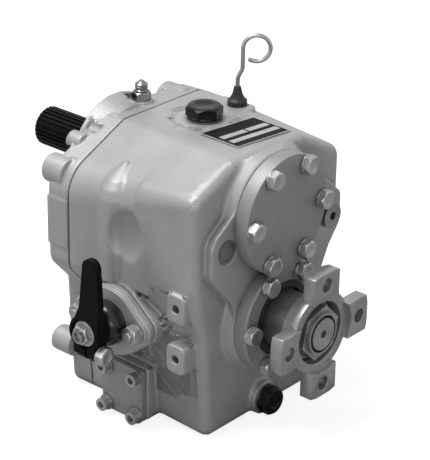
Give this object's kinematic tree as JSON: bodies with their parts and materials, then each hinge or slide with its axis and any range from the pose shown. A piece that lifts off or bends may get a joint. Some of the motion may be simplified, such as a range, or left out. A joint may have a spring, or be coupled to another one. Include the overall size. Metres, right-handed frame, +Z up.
{
  "type": "marine gearbox",
  "caption": "Marine reversing gearbox with splined input shaft, four-arm output coupling, hand shift lever, dipstick, breather and roof filler on a cast casing.",
  "frame": {"origin": "on the output shaft's axis, in the front face of the coupling flange's arms", "axes": "+X aft along the shafts, out of the coupling; +Y to starboard, away from the shift lever; +Z up through the roof"},
  "size_m": [0.2734, 0.2138, 0.2671],
  "materials": {
    "casting": "sand-cast aluminium under a thin silver-grey paint",
    "cover_casting": "cast aluminium, satin, machined edges",
    "bright_bolts": "bright zinc plate",
    "dark_plugs": "dark oxide",
    "core_metal": "machined, dull",
    "gasket_paper": "oiled gasket paper",
    "copper_rings": "soft copper washer",
    "seal_rubber": "matt black rubber",
    "breather_metal": "nickel-plated brass",
    "plate_metal": "black-filled anodised sheet with bare fields",
    "black_steel": "black oxide, oiled",
    "gear_steel": "ground and oiled",
    "bearing_steel": "polished",
    "bronze": "sintered bronze",
    "flange_steel": "turned and milled steel",
    "black_paint": "gloss black paint over rough casting"
  },
  "bodies": {
    "casing": {"bore_plug": "core_metal", "breather_body": "breather_metal", "case_screws": "bright_bolts", "casing_gasket": "gasket_paper", "core_plug": "core_metal", "drain_plug": "dark_plugs", "drain_ring": "copper_rings", "filler_plug": "dark_plugs", "filler_ring": "copper_rings", "idler_pin": "gear_steel", "idler_retainer": "gear_steel", "input_bearing_outers": "bearing_steel", "input_cover": "casting", "input_seal": "seal_rubber", "lower_cover": "cover_casting", "lower_cover_bolts": "bright_bolts", "lower_gasket": "gasket_paper", "main_housing": "casting", "name_plate": "plate_metal", "output_aft_bearing_outer": "bearing_steel", "output_front_bearing_outer": "bearing_steel", "output_seal": "seal_rubber", "shift_boot": "seal_rubber", "shift_cover": "casting", "shift_gasket": "gasket_paper", "shift_nuts": "bright_bolts", "shift_studs": "bright_bolts", "side_cover": "cover_casting", "side_cover_screws": "bright_bolts", "side_gasket": "gasket_paper", "upper_cover": "cover_casting", "upper_cover_bolts": "bright_bolts", "upper_gasket": "gasket_paper"},
    "input": {"input_shaft": "black_steel", "forward_pinion": "gear_steel", "snap_rings": "gear_steel", "input_bearing_inners": "bearing_steel"},
    "idler": {"idler_gear": "gear_steel", "idler_bush": "bronze"},
    "forward_wheel": {"forward_gear": "gear_steel", "forward_bush": "bronze"},
    "reverse_wheel": {"reverse_gear": "gear_steel", "reverse_bush": "bronze"},
    "output": {"output_shaft": "gear_steel", "output_flange": "flange_steel", "flange_nut": "flange_steel", "output_bearing_inners": "bearing_steel"},
    "sleeve": {"clutch_sleeve": "gear_steel"},
    "lever": {"lever": "black_paint", "lever_shaft": "gear_steel", "crank_pin": "gear_steel", "lever_nut": "bright_bolts", "clamp_bolt": "bright_bolts"},
    "dipstick": {"dipstick_stopper": "seal_rubber", "dipstick_wire": "black_steel"},
    "vent_cap": {"breather_cap": "breather_metal"}
  },
  "joints": [
    {"name": "input_spin", "type": "hinge", "parent": "casing", "child": "input", "pos_m": [-0.12, 0, 0.0816], "axis": [1, 0, 0], "continuous": true},
    {"name": "idler_spin", "type": "hinge", "parent": "casing", "child": "idler", "pos_m": [-0.1636, 0.05074, 0.06313], "axis": [1, 0, 0], "continuous": true},
    {"name": "forward_wheel_spin", "type": "hinge", "parent": "casing", "child": "forward_wheel", "pos_m": [-0.0916, 0, 0], "axis": [1, 0, 0], "continuous": true},
    {"name": "reverse_wheel_spin", "type": "hinge", "parent": "casing", "child": "reverse_wheel", "pos_m": [-0.1636, 0, 0], "axis": [1, 0, 0], "continuous": true},
    {"name": "output_spin", "type": "hinge", "parent": "casing", "child": "output", "pos_m": [-0.06, 0, 0], "axis": [1, 0, 0], "continuous": true},
    {"name": "lever_swing", "type": "hinge", "parent": "casing", "child": "lever", "pos_m": [-0.1276, -0.1, -0.0015], "axis": [0, 1, 0], "range_deg": [-25, 25]},
    {"name": "sleeve_shift", "type": "slide", "parent": "output", "child": "sleeve", "axis": [1, 0, 0], "range_m": [-0.00598, 0.00598]},
    {"name": "dipstick_pull", "type": "slide", "parent": "casing", "child": "dipstick", "axis": [0, 0, 1], "range_m": [0, 0.12]},
    {"name": "vent_cap_lift", "type": "slide", "parent": "casing", "child": "vent_cap", "axis": [0, 0, 1], "range_m": [0, 0.0015]}
  ],
  "couplings": [
    {"joint": "idler_spin", "follows": "input_spin", "ratio": -0.63636},
    {"joint": "reverse_wheel_spin", "follows": "input_spin", "ratio": 0.4375},
    {"joint": "forward_wheel_spin", "follows": "input_spin", "ratio": -0.58824},
    {"joint": "lever_swing", "follows": "sleeve_shift", "rad_per_m": -72.993}
  ]
}
